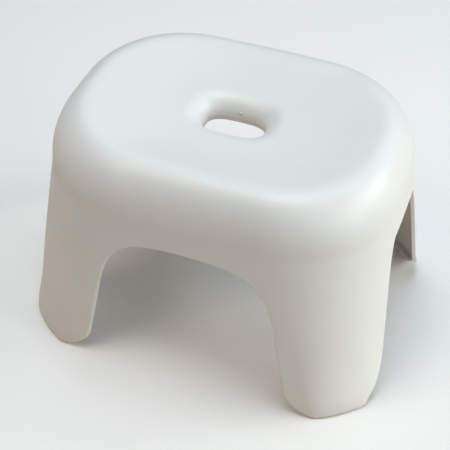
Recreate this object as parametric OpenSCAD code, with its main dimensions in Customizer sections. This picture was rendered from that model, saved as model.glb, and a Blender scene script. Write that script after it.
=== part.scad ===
/* [Overall size] */

// Length between the end walls at the floor, along X (mm)
foot_length = 338; // [328:1:348]
// Width between the long walls at the floor, along Y (mm)
foot_width = 256; // [248:1:264]
// Length between the end walls at the seat (mm)
seat_length = 297; // [288:1:306]
// Width between the long walls at the seat (mm)
seat_width = 223; // [216:1:230]
// Overall height, foot pads included (mm)
height = 219; // [210:1:230]
// Thickness of the moulded shell (mm)
wall = 3; // [2.5:0.1:3.6]

/* [Seat] */

// How far the rolled edge reaches in from the side (mm)
roll_in = 29; // [24:1:33]
// How far the rolled edge reaches down the side (mm)
roll_down = 47; // [40:1:52]
// How much lower the middle of the long rims is than their ends (mm)
rim_sag = 0; // [0:0.5:6]
// How far the seat is dished below its rim (mm)
dish = 7; // [4:0.5:12]
// How far the long sides bow outwards in plan (mm)
side_bow = 6; // [2:0.5:8]
// How far the short ends bow outwards in plan (mm)
end_bow = 3; // [0:0.5:7]

/* [Hand hole] */

// Length of the hand hole (mm)
hole_length = 54; // [50:1:70]
// Width of the hand hole (mm)
hole_width = 33; // [26:1:36]
// Radius of the soft lip that leads into the hole (mm)
hole_lip = 17; // [12:1:20]
// Depth of the collar below the lip (mm)
hole_collar = 5; // [3:1:8]

/* [Stiffening ring under the seat] */

// Depth of the ring below the underside of the seat (mm)
ring_depth = 7; // [4:1:10]
// Thickness of the ring (mm)
ring_thickness = 2.2; // [1.6:0.2:3]
// Where the ring runs, from the rim (0) to the hole lip (1)
ring_place = 0.5; // [0.35:0.05:0.65]

/* [Front and back arches] */

// Half the arch width at the floor (mm)
front_arch_half = 98; // [92:0.5:102]
// Arch height above the floor (mm)
front_arch_height = 152; // [140:1:156]
// Lean of the arch sides (mm per mm of height)
front_arch_lean = 0.19; // [0.12:0.01:0.24]

/* [End arches] */

// Half the arch width at the floor (mm)
end_arch_half = 72; // [66:0.5:76]
// Arch height above the floor (mm)
end_arch_height = 150; // [138:1:154]
// Lean of the arch sides (mm per mm of height)
end_arch_lean = 0.23; // [0.16:0.01:0.26]

/* [Feet] */

// Thickness of the anti-slip pad under each foot (mm)
pad_thickness = 2.5; // [2:0.5:4]
// Width of the ledge inside each foot that the pad is bonded to (mm)
ledge_width = 5; // [3:1:12]
// How far the pad is set in from the outside of the foot (mm)
pad_setback = 1; // [0.6:0.2:2]

/* [Hidden] */

floor_z = pad_thickness;
quarter_turn = 90;

// Plan section of the legs: how far each corner cut reaches along the
// long side and along the short side, and how full the corner is.
cut_long_top = 107;
cut_long_foot = 45.5;
cut_short_top = 107;
cut_short_foot = 53;
corner_fullness_top = 0.94;
corner_fullness_foot = 0.07;
cut_power = 1.33;
fullness_power = 0.38;
flare_height = 50;
flare_short = 18;
crest_softness = 0.15;

// Share of each half side that the outline's side stations cover, and how
// much of an inset a corner cut loses so that the wall keeps its thickness.
long_share = 0.76;
short_share = 0.74;
cut_loss = 0.7;

// Arch corners: share of the half top that they take, share of the side that
// they take, and how full they are. Then the radius that turns each leg side
// into its toe.
front_arch_corner = [0.97, 0.4, 1.4];
front_toe_radius = 24;
end_arch_corner = [0.22, 0.28, 0.8];
end_toe_radius = 43;
round_fullness = 0.707;
hole_squareness = 3;

// Mesh steps, counted per quarter of the stool.
steps_arch_top = 2;
steps_arch_corner = 7;
steps_arch_side = 2;
steps_toe = 4;
steps_sole = 5;

// Rows of mesh up the wall, round the roll and into the hole, for the outside
// and for the inside, and rows over the top of the seat.
outer_rows = [6, 5, 3];
inner_rows = [4, 4, 3];
rows_seat_top = 5;

edge_bead = 0.8;
ledge_thickness = 3;
ledge_fade = 8;

// ---- plan section at a height -------------------------------------------

function mix(a, b, t) = a + (b - a) * t;
function up(z) = min(max(z / height, 0), 1);
function half_long(z) = mix(foot_length, seat_length, up(z)) / 2 - end_bow;
function half_short(z) = mix(foot_width, seat_width, up(z)) / 2 - side_bow;
function flare(z) = pow(max(0, 1 - z / flare_height), 2);
function cut_long(z) = mix(cut_long_foot, cut_long_top, pow(up(z), cut_power));
function cut_short(z) = mix(cut_short_foot, cut_short_top, pow(up(z), cut_power))
    - flare_short * flare(z);
function fullness(z) =
    mix(corner_fullness_foot, corner_fullness_top, pow(up(z), fullness_power));

// One corner of an outline: from start, pulled towards corner, to end.
function corner_point(start, corner, end, full, t) =
    let (a = (1 - t) * (1 - t), b = 2 * t * (1 - t) * full, c = t * t)
    (a * start + b * corner + c * end) / (a + b + c);

// Sides of the outline swell a little between the corners.
function bowed(p, l, w) = [
    p[0] + end_bow * (p[0] / l) * (1 - pow(p[1] / w, 2)),
    p[1] + side_bow * (p[1] / w) * (1 - pow(p[0] / l, 2))
];

// Step along a corner at which a share of its cut is still to come.
function corner_step(share, full) =
    let (r = -full + sqrt(full * full - 1 + 1 / min(share, 1)))
    r / (1 + r);
function long_step(x, l, cl, full) = corner_step((l - x) / cl, full);
function short_step(y, w, cs, full) = 1 - corner_step((w - y) / cs, full);

// Point of the quarter outline. Station 0 to 1 runs along the long side,
// 1 to 2 round the corner and 2 to 3 along the short side.
function outline(station, l, w, cl, cs, full) =
    let (
        x = min(station, 1) * long_share * l,
        y = min(3 - station, 1) * short_share * w,
        step = station <= 1 ? long_step(x, l, cl, full)
            : station >= 2 ? short_step(y, w, cs, full)
            : mix(long_step(x, l, cl, full), short_step(y, w, cs, full), station - 1),
        p = station <= 1 && x <= l - cl ? [x, -w]
            : station >= 2 && y <= w - cs ? [l, -y]
            : corner_point([l - cl, -w], [l, -w], [l, cs - w], full, step)
    )
    bowed(p, l, w);

function wall_point(station, z, inset) =
    let (loss = cut_loss * inset)
    outline(station, half_long(z) - inset, half_short(z) - inset,
        cut_long(z) - loss, cut_short(z) - loss, fullness(z));

// ---- arches ---------------------------------------------------------------

// Half of an arch, from its middle to its toe, as points [across, height].
function arch(half, rise, lean, corner, toe) =
    let (
        top = [half - lean * rise, rise],
        foot = [half, floor_z],
        side = (foot - top) / norm(foot - top),
        top_end = [top[0] * (1 - corner[0]), rise],
        side_start = mix(top, foot, corner[1]),
        side_end = foot - side * toe,
        toe_end = foot + [toe, 0]
    )
    concat(
        [for (i = [0 : steps_arch_top - 1])
            [top_end[0] * i / steps_arch_top, rise]],
        [for (i = [0 : steps_arch_corner])
            corner_point(top_end, top, side_start, corner[2], i / steps_arch_corner)],
        [for (i = [1 : steps_arch_side - 1])
            mix(side_start, side_end, i / steps_arch_side)],
        [for (i = [0 : steps_toe])
            corner_point(side_end, foot, toe_end, round_fullness, i / steps_toe)]
    );

// Station of an arch point on the long side and on the short side.
function station_long(p) = p[0] / (long_share * half_long(p[1]));
function station_short(p) = 3 - p[0] / (short_share * half_short(p[1]));

function reversed(list) = [for (i = [len(list) - 1 : -1 : 0]) list[i]];

front_arch = arch(front_arch_half, front_arch_height, front_arch_lean,
    front_arch_corner, front_toe_radius);
end_arch = arch(end_arch_half, end_arch_height, end_arch_lean,
    end_arch_corner, end_toe_radius);

front_columns = [for (p = front_arch) [station_long(p), p[1]]];
end_columns = reversed([for (p = end_arch) [station_short(p), p[1]]]);
sole_from = front_columns[len(front_columns) - 1][0];
sole_to = end_columns[0][0];
sole_columns = [for (i = [1 : steps_sole - 1])
    [mix(sole_from, sole_to, i / steps_sole), floor_z]];

// Every column of the quarter shell as [station, height of its lower end].
columns = concat(front_columns, sole_columns, end_columns);

// ---- one column of the shell ---------------------------------------------

function rim_height(x) = height - rim_sag * (1 - pow(2 * x / seat_length, 2));
function roll_start(station) =
    rim_height(wall_point(station, height - roll_down, 0)[0]) - roll_down;

function roll_point(station, angle, inset) =
    let (
        z = roll_start(station),
        p = wall_point(station, z, inset + (roll_in - inset) * (1 - cos(angle)))
    )
    [p[0], p[1], z + (roll_down - inset) * sin(angle)];

function hole_point(direction, out) =
    let (
        c = abs(cos(direction)),
        s = abs(sin(direction)),
        r = pow(pow(c, hole_squareness) + pow(s, hole_squareness), -1 / hole_squareness)
    )
    [(hole_length / 2 + out) * r * cos(direction), (hole_width / 2 + out) * r * sin(direction)];

seat_low = height - rim_sag - dish;

// Share of the dish reached at t, from the crest (0) to the hole lip (1):
// level at the crest, steepest just inside it, level again at the lip.
function dip(t) =
    let (s = t * t * (1 + crest_softness) / (t + crest_softness))
    1 - (1 - s) * (1 - s);

// Steps over the seat as [place, extra depth]. On the inside they go down and
// up again round the stiffening ring.
function seat_steps(inset, length) =
    let (half = ring_thickness / (2 * length))
    inset == 0 ? [for (i = [1 : rows_seat_top]) [i / rows_seat_top, 0]]
    : [
        [ring_place / 2, 0],
        for (side = [-1, 1])
            for (depth = side < 0 ? [0, ring_depth] : [ring_depth, 0])
                [ring_place + side * half, depth],
        [(1 + ring_place) / 2, 0],
        [1, 0]
    ];

function column_points(column, inset, rows) =
    let (
        station = column[0],
        low = column[1],
        top = roll_start(station),
        crest = roll_point(station, quarter_turn, inset),
        direction = atan2(crest[1] / seat_width, crest[0] / seat_length),
        lip = hole_point(direction, hole_lip),
        lip_start = [lip[0], lip[1], crest[2]]
    )
    concat(
        [for (i = [0 : rows[0]])
            let (z = mix(low, top, i / rows[0]), p = wall_point(station, z, inset))
            [p[0], p[1], z]],
        [for (i = [1 : rows[1]])
            roll_point(station, quarter_turn * i / rows[1], inset)],
        [for (step = seat_steps(inset, norm(crest - lip_start)))
            let (t = step[0])
            [
                mix(crest[0], lip_start[0], t),
                mix(crest[1], lip_start[1], t),
                mix(crest[2], seat_low - inset, dip(t)) - step[1]
            ]],
        [for (i = [1 : rows[2]])
            let (
                angle = quarter_turn * i / rows[2],
                p = hole_point(direction, hole_lip - (hole_lip - inset) * sin(angle))
            )
            [p[0], p[1], seat_low - inset - (hole_lip - inset) * (1 - cos(angle))]],
        [let (p = hole_point(direction, inset)) [p[0], p[1], seat_low - hole_lip - hole_collar]]
    );

// Extra inner rows: a bead inside every free edge, which widens over the
// foot into the ledge that the pad is bonded to.
function ledge_reach(column) =
    wall + max(edge_bead, ledge_width * (1 - (column[1] - floor_z) / ledge_fade));
function ledge_points(column) = [
    for (z = [column[1], column[1] + ledge_thickness])
        let (p = wall_point(column[0], z, ledge_reach(column)))
        [p[0], p[1], z]
];

function inner_points(column) =
    let (
        low = column[1] + ledge_thickness,
        raised = [column[0], low]
    )
    concat(ledge_points(column), column_points(raised, wall, inner_rows));

// ---- the whole ring --------------------------------------------------------

// Mirror a quarter list of columns round the stool, sharing the seam columns.
function flip(points, sx, sy) = [for (p = points) [p[0] * sx, p[1] * sy, p[2]]];
function without_ends(list) = [for (i = [1 : len(list) - 2]) list[i]];
function ring(quarter) = concat(
    quarter,
    [for (c = reversed(quarter)) if (c != quarter[len(quarter) - 1]) flip(c, 1, -1)],
    [for (i = [1 : len(quarter) - 1]) flip(quarter[i], -1, -1)],
    [for (c = reversed(without_ends(quarter))) flip(c, -1, 1)]
);

shell_ring = ring([for (c = columns)
    concat(inner_points(c), reversed(column_points(c, 0, outer_rows)))]);

// Two triangles for every cell of the ring. The diagonal changes side from
// one quarter to the next, so that the mesh is symmetrical too.
function loop_faces(across, around) = [
    for (c = [0 : across - 1])
        for (r = [0 : around - 1])
            let (
                a = c * around + r,
                b = ((c + 1) % across) * around + r,
                c3 = ((c + 1) % across) * around + (r + 1) % around,
                d = c * around + (r + 1) % around,
                odd = floor(4 * c / across) % 2 == 1
            )
            for (f = odd ? [[a, b, d], [b, c3, d]] : [[a, b, c3], [a, c3, d]]) f
];

// ---- parts -----------------------------------------------------------------

module seat_shell() {
    color("white")
    polyhedron(
        points = [for (c = shell_ring) for (p = c) p],
        faces = loop_faces(len(shell_ring), len(shell_ring[0])));
}

// The pad follows the sole of one foot, set in from its edge.
pad_columns = [for (i = [0 : 3 * steps_sole])
    mix(sole_from, sole_to, i / (3 * steps_sole))];
function pad_outline() = concat(
    [for (s = pad_columns) wall_point(s, floor_z, pad_setback)],
    [for (s = reversed(pad_columns))
        wall_point(s, floor_z, wall + ledge_width - pad_setback)]
);

module foot_pad(side_x, side_y) {
    color("dimgray")
    linear_extrude(height = pad_thickness)
    polygon([for (p = pad_outline()) [p[0] * side_x, p[1] * side_y]]);
}

module foot_pad_front_right() {
    foot_pad(1, 1);
}

module foot_pad_back_right() {
    foot_pad(1, -1);
}

module foot_pad_back_left() {
    foot_pad(-1, -1);
}

module foot_pad_front_left() {
    foot_pad(-1, 1);
}

seat_shell();
foot_pad_front_right();
foot_pad_back_right();
foot_pad_back_left();
foot_pad_front_left();
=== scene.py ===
"""A white moulded shower stool on a pale floor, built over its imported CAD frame."""

import math

import bpy
import numpy as np
from mathutils import Matrix, Vector


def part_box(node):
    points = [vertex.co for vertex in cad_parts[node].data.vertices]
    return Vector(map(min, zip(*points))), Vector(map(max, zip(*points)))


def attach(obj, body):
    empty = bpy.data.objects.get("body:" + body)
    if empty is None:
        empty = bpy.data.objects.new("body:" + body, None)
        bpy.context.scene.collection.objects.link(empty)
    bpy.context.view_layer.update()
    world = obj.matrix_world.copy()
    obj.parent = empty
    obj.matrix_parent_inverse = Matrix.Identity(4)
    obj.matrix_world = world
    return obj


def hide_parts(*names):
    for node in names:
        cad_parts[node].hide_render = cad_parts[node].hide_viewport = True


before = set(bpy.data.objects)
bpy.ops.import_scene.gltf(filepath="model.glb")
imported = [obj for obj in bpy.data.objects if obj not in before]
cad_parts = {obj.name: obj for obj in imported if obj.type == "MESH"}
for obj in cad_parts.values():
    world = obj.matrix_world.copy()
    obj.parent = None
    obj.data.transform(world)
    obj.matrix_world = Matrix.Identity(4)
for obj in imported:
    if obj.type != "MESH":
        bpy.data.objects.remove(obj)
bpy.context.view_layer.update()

MM = 0.001

# ---- the moulding, in millimetres -------------------------------------------

FOOT_LENGTH, FOOT_WIDTH = 338.0, 256.0
SEAT_LENGTH, SEAT_WIDTH = 297.0, 223.0
HEIGHT = 219.0
WALL = 3.0
ROLL_IN, ROLL_DOWN = 29.0, 47.0
DISH = 7.0
CREST_SOFTNESS = 0.15
SIDE_BOW, END_BOW = 6.0, 3.0

HOLE_LENGTH, HOLE_WIDTH = 54.0, 33.0
HOLE_SQUARENESS = 3.0
HOLE_LIP, HOLE_COLLAR = 17.0, 5.0

RING_DEPTH, RING_THICKNESS, RING_PLACE = 7.0, 2.2, 0.5

# Each arch: half its width at the floor, its height, the lean of its sides,
# its corner (share of the top, share of the side, fullness) and its toe radius.
FRONT_ARCH = dict(half=98.0, rise=152.0, lean=0.19, corner=(0.97, 0.4, 1.4), toe=24.0)
END_ARCH = dict(half=72.0, rise=150.0, lean=0.23, corner=(0.22, 0.28, 0.8), toe=43.0)

PAD_THICKNESS = 2.5
PAD_SETBACK = 1.0
LEDGE_WIDTH, LEDGE_THICKNESS, LEDGE_FADE = 5.0, 3.0, 8.0
EDGE_BEAD = 0.8

# Plan section of the legs, from the foot to the top.
CUT_LONG = (45.5, 107.0)
CUT_SHORT = (53.0, 107.0)
CUT_POWER = 1.33
CORNER_FULLNESS = (0.07, 0.94)
FULLNESS_POWER = 0.38
FLARE_HEIGHT, FLARE_SHORT = 50.0, 18.0

# Station 1 lies at this share of the long half side, station 2 of the short one.
LONG_SHARE, SHORT_SHARE = 0.76, 0.74
# Share of an inset by which the corner's cuts shrink.
CUT_LOSS = 0.7
# Fullness at which a right-angled corner is a quarter of a circle.
ROUND_FULLNESS = 0.707
SMALLEST_SHARE = 1e-9

# Small roundings and grooves that only this model has.
OUTER_EDGE_RADIUS = 0.9
INNER_EDGE_RADIUS = 0.35
COLLAR_EDGE_RADIUS = 1.0
RING_EDGE_RADIUS = 0.7
PAD_EDGE_RADIUS = 0.5
GROOVE_PITCH, GROOVE_WIDTH, GROOVE_DEPTH = 4.0, 1.5, 0.7
GROOVE_SIDE = 0.4
PAD_TIP_CUT = 0.3
# A rounding drawn with three points has its middle one this share of the radius
# in from either face.
ROUND_MIDDLE = 0.3

# Mesh columns along each stretch of a quarter, from the middle of the front
# arch, over the foot, to the middle of the end arch.
STEPS_ARCH_TOP = 6
STEPS_ARCH_CORNER = 48
STEPS_ARCH_SIDE = 16
STEPS_TOE = 16
STEPS_SOLE = 26

# Mesh rows.
STEPS_ROUND = 4
STEPS_WALL_OUT, STEPS_WALL_IN = 34, 24
STEPS_ROLL_OUT, STEPS_ROLL_IN = 22, 12
STEPS_SEAT_OUT, STEPS_SEAT_IN = 30, 8
STEPS_LIP_OUT, STEPS_LIP_IN = 16, 10
STEPS_LAND = 3
STEPS_LEDGE = 4
STEPS_COLLAR = 4
STEPS_PAD = 160
STEPS_PAD_WIDTH = 6

FLOOR_Z = PAD_THICKNESS
QUARTER = math.pi / 2


def mix(a, b, t):
    return a + (b - a) * t


def steps(count):
    """Even shares of a stretch, without its start and with its end."""
    return np.arange(1, count + 1) / count


# ---- plan section -----------------------------------------------------------

def up(z):
    """Share of the stool's height."""
    return np.clip(z / HEIGHT, 0, 1)


def half_long(z):
    return mix(FOOT_LENGTH, SEAT_LENGTH, up(z)) / 2 - END_BOW


def half_short(z):
    return mix(FOOT_WIDTH, SEAT_WIDTH, up(z)) / 2 - SIDE_BOW


def cut_long(z):
    return mix(*CUT_LONG, up(z) ** CUT_POWER)


def cut_short(z):
    flare = np.clip(1 - z / FLARE_HEIGHT, 0, 1) ** 2
    return mix(*CUT_SHORT, up(z) ** CUT_POWER) - FLARE_SHORT * flare


def fullness(z):
    return mix(*CORNER_FULLNESS, up(z) ** FULLNESS_POWER)


def corner_step(share, full):
    """Step along a corner at which a share of its cut is still to come."""
    reach = np.sqrt(full * full - 1 + 1 / np.clip(share, SMALLEST_SHARE, 1)) - full
    return reach / (1 + reach)


def outline(station, length, width, long_cut, short_cut, full):
    """Point of the quarter outline, from its half length and half width. Station
    0 to 1 runs along the long side, 1 to 2 round the corner and 2 to 3 along the
    short side."""
    x = np.minimum(station, 1) * LONG_SHARE * length
    y = np.minimum(3 - station, 1) * SHORT_SHARE * width
    long_step = corner_step((length - x) / long_cut, full)
    short_step = 1 - corner_step((width - y) / short_cut, full)
    share = np.clip(station - 1, 0, 1)
    step = mix(long_step, short_step, share)
    start, middle, end = (1 - step) ** 2, 2 * step * (1 - step) * full, step ** 2
    total = start + middle + end
    px = (start * (length - long_cut) + (middle + end) * length) / total
    py = (end * (short_cut - width) - (start + middle) * width) / total
    on_long = (station <= 1) & (x <= length - long_cut)
    on_short = (station >= 2) & (y <= width - short_cut)
    px = np.where(on_long, x, np.where(on_short, length, px))
    py = np.where(on_long, -width, np.where(on_short, -y, py))
    bowed_x = px + END_BOW * (px / length) * (1 - (py / width) ** 2)
    bowed_y = py + SIDE_BOW * (py / width) * (1 - (px / length) ** 2)
    return bowed_x, bowed_y


def wall_point(station, z, inset):
    loss = CUT_LOSS * inset
    return outline(station, half_long(z) - inset, half_short(z) - inset,
                   cut_long(z) - loss, cut_short(z) - loss, fullness(z))


# ---- arches and columns -----------------------------------------------------

def corner_curve(start, corner, end, full, t):
    a, b, c = (1 - t) ** 2, 2 * t * (1 - t) * full, t ** 2
    total = a + b + c
    return (np.outer(a / total, start) + np.outer(b / total, corner)
            + np.outer(c / total, end))


def arch(half, rise, lean, corner, toe):
    """Half of an arch, from its middle to its toe, as points (across, height)."""
    top = np.array([half - lean * rise, rise])
    foot = np.array([half, FLOOR_Z])
    side = (foot - top) / np.linalg.norm(foot - top)
    top_end = np.array([top[0] * (1 - corner[0]), rise])
    side_start = mix(top, foot, corner[1])
    side_end = foot - side * toe
    toe_end = foot + [toe, 0]
    middle = np.array([0, rise])
    return np.concatenate([
        [middle],
        [mix(middle, top_end, t) for t in steps(STEPS_ARCH_TOP)],
        corner_curve(top_end, top, side_start, corner[2], steps(STEPS_ARCH_CORNER)),
        [mix(side_start, side_end, t) for t in steps(STEPS_ARCH_SIDE)],
        corner_curve(side_end, foot, toe_end, ROUND_FULLNESS, steps(STEPS_TOE)),
    ])


def grown(points, by):
    """Arch points moved away from the opening, each by its own distance."""
    along = np.gradient(points, axis=0)
    along[0] = (1, 0)
    along[-1] = (1, 0)
    along /= np.linalg.norm(along, axis=1)[:, None]
    return points + np.stack([-along[:, 1], along[:, 0]], 1) * np.reshape(by, (-1, 1))


front_arch = arch(**FRONT_ARCH)
end_arch = arch(**END_ARCH)


def edge_columns(by):
    """Station and height of every column of a quarter, at the free edge moved
    up into the wall by a distance for each column."""
    by = np.broadcast_to(by, (COLUMNS,))
    front = grown(front_arch, by[:len(front_arch)])
    end = grown(end_arch, by[::-1][:len(end_arch)])
    front_station = front[:, 0] / (LONG_SHARE * half_long(front[:, 1]))
    end_station = 3 - end[:, 0] / (SHORT_SHARE * half_short(end[:, 1]))
    sole_share = np.arange(1, STEPS_SOLE) / STEPS_SOLE
    sole_station = mix(front_station[-1], end_station[-1], sole_share)
    sole_z = FLOOR_Z + by[len(front_arch):COLUMNS - len(end_arch)]
    station = np.concatenate([front_station, sole_station, end_station[::-1]])
    z = np.concatenate([front[:, 1], sole_z, end[::-1, 1]])
    return station, z


COLUMNS = len(front_arch) + STEPS_SOLE - 1 + len(end_arch)
edge_station, edge_z = edge_columns(0.0)
ledge_reach = WALL + np.maximum(
    EDGE_BEAD, LEDGE_WIDTH * (1 - (edge_z - FLOOR_Z) / LEDGE_FADE))


# ---- rows of the moulding ---------------------------------------------------

def edge_row(by, inset):
    station, z = edge_columns(by)
    x, y = wall_point(station, z, inset)
    return np.stack([x, y, z], 1)


def hole_point(direction, out):
    c, s = np.cos(direction), np.sin(direction)
    r = (abs(c) ** HOLE_SQUARENESS + abs(s) ** HOLE_SQUARENESS) ** (-1 / HOLE_SQUARENESS)
    return (HOLE_LENGTH / 2 + out) * r * c, (HOLE_WIDTH / 2 + out) * r * s


def dip(t):
    """Share of the dish reached at t, from the crest (0) to the hole lip (1)."""
    s = t * t * (1 + CREST_SOFTNESS) / (t + CREST_SOFTNESS)
    return 1 - (1 - s) ** 2


def wall_rows(station, low, inset, count):
    rows = []
    for t in steps(count):
        z = mix(low, HEIGHT - ROLL_DOWN, t)
        x, y = wall_point(station, z, inset)
        rows.append(np.stack([x, y, z], 1))
    return rows


def roll_row(station, angle, inset):
    start = HEIGHT - ROLL_DOWN
    reach = inset + (ROLL_IN - inset) * (1 - math.cos(angle))
    x, y = wall_point(station, start, reach)
    z = start + (ROLL_DOWN - inset) * math.sin(angle)
    return np.stack([x, y, np.full_like(x, z)], 1)


def seat_depths(inset, length):
    """Places over the seat and extra depth there: the underside has a ring."""
    if inset == 0:
        return [(t, 0.0) for t in steps(STEPS_SEAT_OUT)]
    half = RING_THICKNESS / (2 * length)
    r = RING_EDGE_RADIUS
    soft = r / length
    mid = ROUND_MIDDLE
    near = [(RING_PLACE * t, 0.0) for t in steps(STEPS_SEAT_IN)[:-1]]
    down = [(-half - soft, 0.0), (-half - mid * soft, mid * r), (-half, r),
            (-half, RING_DEPTH - r), (-half + mid * soft, RING_DEPTH - mid * r),
            (-half + soft, RING_DEPTH)]
    ring = down + [(-place, depth) for place, depth in reversed(down)]
    far = [(mix(RING_PLACE, 1, t), 0.0) for t in steps(STEPS_SEAT_IN)]
    return near + [(RING_PLACE + place, depth) for place, depth in ring] + far


def seat_and_hole_rows(station, inset, count_lip):
    """Rows from the crest of the roll over the seat and down into the hole."""
    crest = roll_row(station, QUARTER, inset)
    direction = np.arctan2(crest[:, 1] / SEAT_WIDTH, crest[:, 0] / SEAT_LENGTH)
    lip = np.stack([*hole_point(direction, HOLE_LIP), crest[:, 2]], 1)
    length = np.linalg.norm(crest - lip, axis=1)
    low = HEIGHT - DISH
    rows = []
    for place, depth in seat_depths(inset, length):
        place = np.broadcast_to(place, length.shape)
        row = mix(crest, lip, place[:, None])
        row[:, 2] = mix(crest[:, 2], low - inset, dip(place)) - depth
        rows.append(row)
    for t in steps(count_lip):
        out = HOLE_LIP - (HOLE_LIP - inset) * math.sin(QUARTER * t)
        z = low - inset - (HOLE_LIP - inset) * (1 - math.cos(QUARTER * t))
        x, y = hole_point(direction, out)
        rows.append(np.stack([x, y, np.full_like(x, z)], 1))
    bottom = low - HOLE_LIP - HOLE_COLLAR
    radius = COLLAR_EDGE_RADIUS
    start = rows[-1][0, 2]
    for t in steps(STEPS_COLLAR):
        x, y = hole_point(direction, inset)
        rows.append(np.stack([x, y, np.full_like(x, mix(start, bottom + radius, t))], 1))
    away = 1 if inset == 0 else -1
    for t in steps(STEPS_ROUND):
        turn = QUARTER * t
        x, y = hole_point(direction, inset + away * radius * (1 - math.cos(turn)))
        z = bottom + radius * (1 - math.sin(turn))
        rows.append(np.stack([x, y, np.full_like(x, z)], 1))
    return rows


def outer_rows():
    """From the free edge up the outside, over the seat and into the hole."""
    r = OUTER_EDGE_RADIUS
    station, low = edge_columns(r)
    x, y = wall_point(station, low, 0.0)
    rows = [np.stack([x, y, low], 1)]
    rows += wall_rows(station, low, 0.0, STEPS_WALL_OUT)
    rows += [roll_row(station, QUARTER * t, 0.0) for t in steps(STEPS_ROLL_OUT)]
    rows += seat_and_hole_rows(station, 0.0, STEPS_LIP_OUT)
    return rows


def edge_rows():
    """Round the free edge, from the outside to the foot of the inner wall."""
    r, s = OUTER_EDGE_RADIUS, INNER_EDGE_RADIUS
    reach = ledge_reach
    rows = []
    for t in steps(STEPS_ROUND):
        turn = QUARTER * t
        rows.append(edge_row(r * (1 - math.sin(turn)), r * (1 - math.cos(turn))))
    rows += [edge_row(0.0, mix(r, reach - s, t)) for t in steps(STEPS_LAND)]
    for t in steps(STEPS_ROUND):
        turn = QUARTER * t
        rows.append(edge_row(s * (1 - math.cos(turn)), reach - s * (1 - math.sin(turn))))
    top = LEDGE_THICKNESS
    for t in steps(STEPS_ROUND):
        turn = QUARTER * t
        rows.append(edge_row(top - s * (1 - math.sin(turn)), reach - s * (1 - math.cos(turn))))
    for t in steps(STEPS_LEDGE):
        rows.append(edge_row(top, mix(reach - s, WALL + s, t)))
    for t in steps(STEPS_ROUND):
        turn = QUARTER * t
        rows.append(edge_row(top + s * (1 - math.cos(turn)), WALL + s * (1 - math.sin(turn))))
    return rows


def inner_rows():
    """Up the inside, under the seat and down round the hole's collar."""
    station, low = edge_columns(LEDGE_THICKNESS + INNER_EDGE_RADIUS)
    rows = wall_rows(station, low, WALL, STEPS_WALL_IN)
    rows += [roll_row(station, QUARTER * t, WALL) for t in steps(STEPS_ROLL_IN)]
    rows += seat_and_hole_rows(station, WALL, STEPS_LIP_IN)
    return rows


# ---- meshes -----------------------------------------------------------------

def whole_ring(quarter):
    """Mirrors a quarter's columns round the stool, sharing the seam columns."""
    back = quarter[::-1]
    return np.concatenate([
        quarter,
        back[1:] * (1, -1, 1),
        quarter[1:] * (-1, -1, 1),
        back[1:-1] * (-1, 1, 1),
    ])


def ring_faces(across, around):
    column, row = np.meshgrid(np.arange(across), np.arange(around), indexing="ij")
    next_column, next_row = (column + 1) % across, (row + 1) % around
    corners = [column * around + row, next_column * around + row,
               next_column * around + next_row, column * around + next_row]
    return np.stack([c.ravel() for c in corners], 1)


def make_piece(name, points, faces, node, material):
    """A smooth mesh that stands for a CAD node and fills the node's box."""
    low, high = (np.array(corner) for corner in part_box(node))
    size = points.max(0) - points.min(0)
    points = (points - points.min(0)) / size * (high - low) + low
    mesh = bpy.data.meshes.new(name)
    mesh.from_pydata(points.tolist(), [], faces)
    mesh.validate()
    mesh.polygons.foreach_set("use_smooth", [True] * len(mesh.polygons))
    mesh.materials.append(material)
    piece = bpy.data.objects.new(name, mesh)
    bpy.context.scene.collection.objects.link(piece)
    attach(piece, "root")
    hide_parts(node)
    return piece


def make_shell(material):
    rows = inner_rows() + outer_rows()[::-1] + edge_rows()
    ring = whole_ring(np.stack(rows, 1).reshape(COLUMNS, -1, 3))
    faces = ring_faces(len(ring), len(rows))
    return make_piece("moulded_shell", ring.reshape(-1, 3), faces.tolist(),
                      "seat_shell", material)


def pad_section(groove):
    """One section of a pad as (share of its width, height), going round."""
    half = (WALL + LEDGE_WIDTH) / 2 - PAD_SETBACK
    r = PAD_EDGE_RADIUS
    flat = [mix(r - half, half - r, t) for t in (0, *steps(STEPS_PAD_WIDTH))]
    turn = [QUARTER * t for t in steps(STEPS_ROUND)]
    bottom = [(x, groove) for x in flat]
    inner = [(half - r + r * math.sin(a), groove + r * (1 - math.cos(a))) for a in turn]
    inner += [(half - r + r * math.cos(a), PAD_THICKNESS - r + r * math.sin(a)) for a in turn]
    top = [(x, PAD_THICKNESS) for x in flat[::-1]]
    outer = [(r - half - r * math.sin(a), PAD_THICKNESS - r + r * math.cos(a)) for a in turn]
    outer += [(r - half - r * math.cos(a), groove + r * (1 - math.sin(a))) for a in turn]
    return np.array(bottom + inner + top[1:] + outer[:-1])


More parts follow.
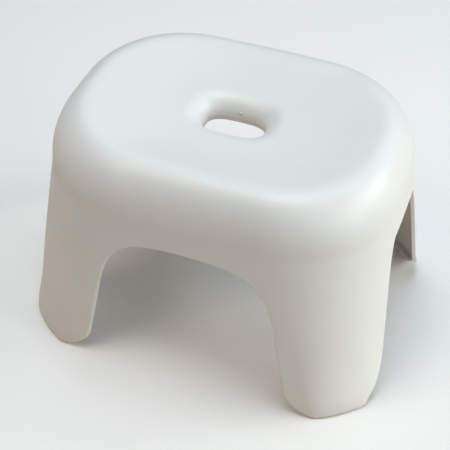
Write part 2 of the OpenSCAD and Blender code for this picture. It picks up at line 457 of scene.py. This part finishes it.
def make_pad(node, side_x, side_y, material):
    """A soft strip along the sole, with grip grooves and rounded ends."""
    first, last = edge_station[len(front_arch) - 1], edge_station[-len(end_arch)]
    share = np.linspace(0, 1, STEPS_PAD + 1)
    station = mix(first, last, share)
    floor = np.full_like(station, FLOOR_Z)
    middle_inset = (WALL + LEDGE_WIDTH) / 2
    x, y = wall_point(station, floor, middle_inset)
    place = np.concatenate([[0], np.cumsum(np.hypot(np.diff(x), np.diff(y)))])
    phase = np.abs((place - place[-1] / 2) % GROOVE_PITCH - GROOVE_PITCH / 2)
    groove = GROOVE_DEPTH * np.clip((GROOVE_WIDTH / 2 - phase) / GROOVE_SIDE + 0.5, 0, 1)
    from_end = np.minimum(place, place[-1] - place)
    end_radius = middle_inset - PAD_SETBACK
    short_of_end = np.clip(1 - (from_end + PAD_TIP_CUT) / end_radius, 0, 1)
    narrow = np.sqrt(1 - short_of_end ** 2)
    columns = []
    for s, z, depth, thin in zip(station, floor, groove, narrow):
        section = pad_section(depth)
        count = len(section)
        px, py = wall_point(np.full(count, s), np.full(count, z),
                            middle_inset + section[:, 0] * thin)
        columns.append(np.stack([px * side_x, py * side_y, section[:, 1]], 1))
    around = len(columns[0])
    faces = ring_faces(len(columns), around)[:-around]
    last_ring = (len(columns) - 1) * around
    ends = [tuple(range(around))[::-1], tuple(last_ring + i for i in range(around))]
    faces = [tuple(face) for face in faces.tolist()] + ends
    if side_x * side_y < 0:
        faces = [face[::-1] for face in faces]
    return make_piece(node.replace("foot_pad", "grip_pad"), np.concatenate(columns),
                      faces, node, material)


# ---- materials --------------------------------------------------------------

PLASTIC_CLEAN = (0.73, 0.73, 0.72)
PLASTIC_DULL = (0.695, 0.695, 0.68)
# Painted shade: a darker, warmer tone laid over the plastic near the floor.
PLASTIC_PAINTED_SHADE = (0.60, 0.575, 0.53)
# Painted highlight: a whiter tone on the mould line and the nub in the hand hole.
PLASTIC_PAINTED_HIGHLIGHT = (0.90, 0.90, 0.88)
PLASTIC_IOR = 1.49
SATIN_ROUGHNESS = (0.42, 0.52)
RUBBER_DARK = (0.50, 0.50, 0.485)
RUBBER_LIGHT = (0.58, 0.58, 0.56)
RUBBER_ROUGHNESS = (0.65, 0.85)

# Each noise: bumps per metre, and how many finer layers it has.
CLOUD_NOISE = (9.0, 3.0)
PATCH_NOISE = (45.0, 5.0)
GLOSS_NOISE = (60.0, 4.0)
WAVE_NOISE = (22.0, 1.0)
GRAIN_NOISE = (1600.0, 2.0)
RUBBER_CLOUD_NOISE = (120.0, 4.0)
RUBBER_GLOSS_NOISE = (300.0, 3.0)
RUBBER_GRAIN_NOISE = (2500.0, 2.0)
# Values between which a noise mostly lies.
NOISE_RANGE = (0.3, 0.7)

# Each bump: its height in metres, and its strength.
GRAIN_BUMP = (0.00006, 0.6)
WAVE_BUMP = (0.0004, 0.25)
SCRATCH_BUMP = (-0.00004, 0.5)
LINE_BUMP = (0.0004, 1.0)
NUB_BUMP = (0.0010, 1.0)
RUBBER_BUMP = (0.0001, 0.6)

# Painted shade, darker and warmer near the floor, fades out up the legs, and use
# has rubbed the top smoother, more and more between two heights. All heights are
# in metres.
PAINTED_SHADE_HEIGHT, PAINTED_SHADE_STRENGTH = 0.022, 0.45
RUBBED_HEIGHTS, RUBBED_GLOSS = (0.185, 0.215), 0.07

# Scratches run along the stool, because their noise is stretched: it has fewer
# bumps per metre along x than along y. There are two layers, and a turn of the
# stretched noise, in radians, makes them differ. A scratch starts at the first
# value of its noise and is full at the second.
SCRATCH_BUMPS = (18.0, 900.0, 18.0)
SCRATCH_NOISE = (1.0, 1.0)
SCRATCH_TURNS = (0.35, -0.9)
SCRATCH_RANGE = (0.66, 0.74)
SCRATCH_ROUGHNESS = 0.10

# The mould's halves meet in a line inside the hand hole. A nub is left a little
# above it on the hole's back wall, which has curved back a little there. Both
# marks are raised, and their whiter tone is a painted highlight. Each mark
# fades out between two distances, all in metres.
HOLE_LINE_HEIGHT = (HEIGHT - DISH - HOLE_LIP) * MM
HOLE_LINE_EDGE = (0.0003, 0.0008)
HOLE_LINE_HIGHLIGHT = 0.6
HOLE_MIDDLE, HOLE_REACH = (0, 0, HOLE_LINE_HEIGHT), (0.034, 0.040)
NUB_RISE, NUB_BACK = 0.005, 0.0008
NUB_PLACE = (0, HOLE_WIDTH / 2 * MM + NUB_BACK, HOLE_LINE_HEIGHT + NUB_RISE)
NUB_EDGE = (0.0008, 0.0017)


def new_material(name):
    material = bpy.data.materials.new(name)
    material.use_nodes = True
    nodes, links = material.node_tree.nodes, material.node_tree.links
    return material, nodes, links, nodes["Principled BSDF"]


def object_place(nodes):
    """The place on the object, in metres. Its height is that above the floor."""
    return nodes.new("ShaderNodeTexCoord").outputs["Object"]


def noise(nodes, links, scale, detail, place=None):
    texture = nodes.new("ShaderNodeTexNoise")
    texture.inputs["Scale"].default_value = scale
    texture.inputs["Detail"].default_value = detail
    links.new(place or object_place(nodes), texture.inputs["Vector"])
    return texture.outputs["Fac"]


def range_of(nodes, links, value, first, last, low, high, ends="SMOOTHSTEP"):
    """Maps a value from first..last to low..high, with soft ends."""
    spread = nodes.new("ShaderNodeMapRange")
    spread.interpolation_type = ends
    spread.inputs["From Min"].default_value = first
    spread.inputs["From Max"].default_value = last
    spread.inputs["To Min"].default_value = low
    spread.inputs["To Max"].default_value = high
    links.new(value, spread.inputs["Value"])
    return spread.outputs["Result"]


def ramp(nodes, links, value, low, high):
    """Maps a noise evenly to low..high."""
    return range_of(nodes, links, value, *NOISE_RANGE, low, high, "LINEAR")


def calculate(nodes, links, operation, first, second):
    node = nodes.new("ShaderNodeMath")
    node.operation = operation
    for socket, value in zip(node.inputs, (first, second)):
        if isinstance(value, float):
            socket.default_value = value
        else:
            links.new(value, socket)
    return node.outputs["Value"]


def blend_colours(nodes, links, share, first, second):
    blend = nodes.new("ShaderNodeMix")
    blend.data_type = "RGBA"
    links.new(share, blend.inputs["Factor"])
    for socket, colour in ((blend.inputs["A"], first), (blend.inputs["B"], second)):
        if isinstance(colour, tuple):
            socket.default_value = (*colour, 1)
        else:
            links.new(colour, socket)
    return blend.outputs["Result"]


def bump(nodes, links, value, size, before=None):
    """Raises the surface by a value, on top of the bumps before it."""
    height, strength = size
    node = nodes.new("ShaderNodeBump")
    node.inputs["Distance"].default_value = height
    node.inputs["Strength"].default_value = strength
    links.new(value, node.inputs["Height"])
    if before:
        links.new(before, node.inputs["Normal"])
    return node.outputs["Normal"]


def distance_from(nodes, links, point):
    gap = nodes.new("ShaderNodeVectorMath")
    gap.operation = "DISTANCE"
    gap.inputs[1].default_value = point
    links.new(object_place(nodes), gap.inputs[0])
    return gap.outputs["Value"]


def height_above_floor(nodes, links):
    parts = nodes.new("ShaderNodeSeparateXYZ")
    links.new(object_place(nodes), parts.inputs["Vector"])
    return parts.outputs["Z"]


def fine_scratches(nodes, links, turn):
    """One layer of thin scratches, which show best on the seat."""
    stretch = nodes.new("ShaderNodeMapping")
    stretch.inputs["Rotation"].default_value = (0, 0, turn)
    stretch.inputs["Scale"].default_value = SCRATCH_BUMPS
    links.new(object_place(nodes), stretch.inputs["Vector"])
    streaks = noise(nodes, links, *SCRATCH_NOISE, stretch.outputs["Vector"])
    return range_of(nodes, links, streaks, *SCRATCH_RANGE, 0.0, 1.0)


def floor_shade_and_scratches(nodes, links, height):
    """Share of painted shade over the feet, darker and warmer near the floor, and share of
    scratches.
    """
    near_floor = range_of(nodes, links, height, 0.0, PAINTED_SHADE_HEIGHT, 1.0, 0.0)
    patches = ramp(nodes, links, noise(nodes, links, *PATCH_NOISE), 0.0, PAINTED_SHADE_STRENGTH)
    floor_shade = calculate(nodes, links, "MULTIPLY", near_floor, patches)
    one_way, other_way = (fine_scratches(nodes, links, turn) for turn in SCRATCH_TURNS)
    return floor_shade, calculate(nodes, links, "MAXIMUM", one_way, other_way)


def mould_marks(nodes, links, height):
    """Shares of the mould line inside the hand hole and of the nub above it."""
    from_line = calculate(nodes, links, "SUBTRACT", height, HOLE_LINE_HEIGHT)
    from_line = calculate(nodes, links, "ABSOLUTE", from_line, 0.0)
    line = range_of(nodes, links, from_line, *HOLE_LINE_EDGE, 1.0, 0.0)
    from_hole = distance_from(nodes, links, HOLE_MIDDLE)
    in_hole = range_of(nodes, links, from_hole, *HOLE_REACH, 1.0, 0.0)
    line = calculate(nodes, links, "MULTIPLY", line, in_hole)
    from_nub = distance_from(nodes, links, NUB_PLACE)
    return line, range_of(nodes, links, from_nub, *NUB_EDGE, 1.0, 0.0)


def white_polypropylene():
    """Moulded white plastic: a fine satin grain, mould marks with a painted highlight, light
    wear and painted shade near the floor.
    """
    material, nodes, links, shader = new_material("white_polypropylene")
    height = height_above_floor(nodes, links)
    floor_shade, scratches = floor_shade_and_scratches(nodes, links, height)
    line, nub = mould_marks(nodes, links, height)

    cloud = ramp(nodes, links, noise(nodes, links, *CLOUD_NOISE), 0.0, 1.0)
    colour = blend_colours(nodes, links, cloud, PLASTIC_DULL, PLASTIC_CLEAN)
    # Painted shade: the plastic is made darker and warmer near the floor.
    colour = blend_colours(nodes, links, floor_shade, colour, PLASTIC_PAINTED_SHADE)
    # Painted highlight: the mould line and the nub are made whiter.
    painted_highlight = calculate(nodes, links, "MULTIPLY", line, HOLE_LINE_HIGHLIGHT)
    painted_highlight = calculate(nodes, links, "MAXIMUM", painted_highlight, nub)
    colour = blend_colours(nodes, links, painted_highlight, colour, PLASTIC_PAINTED_HIGHLIGHT)
    links.new(colour, shader.inputs["Base Color"])

    roughness = ramp(nodes, links, noise(nodes, links, *GLOSS_NOISE), *SATIN_ROUGHNESS)
    rubbed = range_of(nodes, links, height, *RUBBED_HEIGHTS, 0.0, RUBBED_GLOSS)
    roughness = calculate(nodes, links, "SUBTRACT", roughness, rubbed)
    scratched = calculate(nodes, links, "MULTIPLY", scratches, SCRATCH_ROUGHNESS)
    roughness = calculate(nodes, links, "ADD", roughness, scratched)
    links.new(roughness, shader.inputs["Roughness"])

    normal = bump(nodes, links, noise(nodes, links, *GRAIN_NOISE), GRAIN_BUMP)
    normal = bump(nodes, links, noise(nodes, links, *WAVE_NOISE), WAVE_BUMP, normal)
    normal = bump(nodes, links, scratches, SCRATCH_BUMP, normal)
    normal = bump(nodes, links, line, LINE_BUMP, normal)
    normal = bump(nodes, links, nub, NUB_BUMP, normal)
    links.new(normal, shader.inputs["Normal"])
    shader.inputs["IOR"].default_value = PLASTIC_IOR
    return material


def grey_rubber():
    """Soft matt rubber, mottled and finely grained."""
    material, nodes, links, shader = new_material("grey_rubber")
    share = ramp(nodes, links, noise(nodes, links, *RUBBER_CLOUD_NOISE), 0.0, 1.0)
    colour = blend_colours(nodes, links, share, RUBBER_DARK, RUBBER_LIGHT)
    links.new(colour, shader.inputs["Base Color"])
    mottle = noise(nodes, links, *RUBBER_GLOSS_NOISE)
    roughness = ramp(nodes, links, mottle, *RUBBER_ROUGHNESS)
    links.new(roughness, shader.inputs["Roughness"])
    grain = bump(nodes, links, noise(nodes, links, *RUBBER_GRAIN_NOISE), RUBBER_BUMP)
    links.new(grain, shader.inputs["Normal"])
    return material


# ---- floor, light and camera ------------------------------------------------

# The floor that is seen is pale and gives no light. The light from below is that
# of a warmer room floor a little under it, which the camera does not see.
SEEN_FLOOR = (0.84, 0.825, 0.81)
ROOM_FLOOR = (0.74, 0.64, 0.545)
ROOM_FLOOR_DROP = 0.005
FLOOR_ROUGHNESS, FLOOR_SPECULAR = 0.9, 0.2
FLOOR_HALF = 2.0
# Distances from the stool at which a floor starts to fade and is gone.
FLOOR_FADE = (0.7, 1.9)
BACKDROP_COLOUR = (0.74, 0.73, 0.71)
ROOM_COLOUR = (0.93, 0.97, 1.0)
ROOM_STRENGTH = 0.10
LIGHT_DISTANCE = 2.2


def make_floor(name, colour, seen, z):
    """A plain floor, which fades into the backdrop far from the stool. It can't
    be seen from below, so that it hides nothing."""
    mesh = bpy.data.meshes.new(name)
    far = FLOOR_HALF
    corners = [(-far, -far, z), (far, -far, z), (far, far, z), (-far, far, z)]
    mesh.from_pydata(corners, [], [(0, 1, 2, 3)])
    floor = bpy.data.objects.new(name, mesh)
    bpy.context.scene.collection.objects.link(floor)
    floor.visible_camera = seen
    floor.visible_diffuse = not seen
    floor.visible_glossy = not seen
    floor.visible_shadow = not seen
    material, nodes, links, shader = new_material(name)
    shader.inputs["Base Color"].default_value = (*colour, 1)
    shader.inputs["Roughness"].default_value = FLOOR_ROUGHNESS
    shader.inputs["Specular IOR Level"].default_value = FLOOR_SPECULAR
    below = nodes.new("ShaderNodeNewGeometry").outputs["Backfacing"]
    away = distance_from(nodes, links, (0, 0, 0))
    faded = range_of(nodes, links, away, *FLOOR_FADE, 0.0, 1.0)
    unseen = nodes.new("ShaderNodeBsdfTransparent")
    either = nodes.new("ShaderNodeMixShader")
    links.new(calculate(nodes, links, "MAXIMUM", below, faded), either.inputs["Fac"])
    links.new(shader.outputs["BSDF"], either.inputs[1])
    links.new(unseen.outputs["BSDF"], either.inputs[2])
    links.new(either.outputs["Shader"], nodes["Material Output"].inputs["Surface"])
    mesh.materials.append(material)


def make_world():
    """A dim room for light, seen by the camera as a plain pale backdrop."""
    world = bpy.data.worlds.new("studio")
    bpy.context.scene.world = world
    world.use_nodes = True
    nodes, links = world.node_tree.nodes, world.node_tree.links
    room = nodes["Background"]
    room.inputs["Color"].default_value = (*ROOM_COLOUR, 1)
    room.inputs["Strength"].default_value = ROOM_STRENGTH
    backdrop = nodes.new("ShaderNodeBackground")
    backdrop.inputs["Color"].default_value = (*BACKDROP_COLOUR, 1)
    seen = nodes.new("ShaderNodeLightPath")
    either = nodes.new("ShaderNodeMixShader")
    links.new(seen.outputs["Is Camera Ray"], either.inputs["Fac"])
    links.new(room.outputs["Background"], either.inputs[1])
    links.new(backdrop.outputs["Background"], either.inputs[2])
    links.new(either.outputs["Shader"], nodes["World Output"].inputs["Surface"])


def direction(azimuth, elevation):
    """Unit vector from the stool towards a place. Azimuth 0 is the front."""
    a, e = math.radians(azimuth), math.radians(elevation)
    return Vector((math.sin(a) * math.cos(e), -math.cos(a) * math.cos(e), math.sin(e)))


def make_light(name, azimuth, elevation, size, power, colour):
    """A round soft light that faces the stool, with its size in metres."""
    lamp = bpy.data.lights.new(name, "AREA")
    lamp.shape = "DISK"
    lamp.size = size
    lamp.energy = power
    lamp.color = colour
    light = bpy.data.objects.new(name, lamp)
    bpy.context.scene.collection.objects.link(light)
    towards = direction(azimuth, elevation)
    light.location = towards * LIGHT_DISTANCE
    light.rotation_mode = "QUATERNION"
    light.rotation_quaternion = towards.to_track_quat("Z", "Y")


# Where the camera aims, its angles in degrees, its distance in metres, and its
# lens and sensor in millimetres.
CAMERA_AIM = Vector((-1.9, -14.4, 93.9)) * MM
CAMERA_AZIMUTH, CAMERA_ELEVATION, CAMERA_ROLL = 20.135, 44.439, 0.597
CAMERA_DISTANCE = 0.979
CAMERA_LENS, CAMERA_SENSOR = 86.15, 36.0


def make_camera():
    data = bpy.data.cameras.new("camera")
    data.lens = CAMERA_LENS
    data.sensor_width = CAMERA_SENSOR
    camera = bpy.data.objects.new("camera", data)
    bpy.context.scene.collection.objects.link(camera)
    back = direction(CAMERA_AZIMUTH, CAMERA_ELEVATION)
    camera.location = CAMERA_AIM + back * CAMERA_DISTANCE
    turn = Matrix.Rotation(math.radians(CAMERA_ROLL), 3, back)
    camera.rotation_mode = "QUATERNION"
    level = (-back).to_track_quat("-Z", "Y").to_matrix()
    camera.rotation_quaternion = (turn @ level).to_quaternion()
    bpy.context.scene.camera = camera


plastic = white_polypropylene()
rubber = grey_rubber()
make_shell(plastic)
for end, side_x in (("right", 1), ("left", -1)):
    for side, side_y in (("front", 1), ("back", -1)):
        make_pad(f"foot_pad_{side}_{end}", side_x, side_y, rubber)

make_floor("pale_floor", SEEN_FLOOR, True, 0.0)
make_floor("room_floor", ROOM_FLOOR, False, -ROOM_FLOOR_DROP)
make_world()
make_light("window", 110, 25, size=1.2, power=22.5, colour=(0.96, 1.0, 0.99))
make_light("window_low", 80, 15, size=1.2, power=17.5, colour=(0.96, 1.0, 0.97))
make_light("ceiling", 0, 89, size=1.2, power=24.0, colour=(0.78, 0.90, 1.0))
make_light("room_left", 315, 57, size=1.4, power=13.5, colour=(1.0, 0.86, 0.72))
make_light("room_back", 220, 45, size=1.2, power=5.0, colour=(0.77, 0.90, 1.0))
make_camera()
bpy.context.scene.view_settings.view_transform = "Standard"
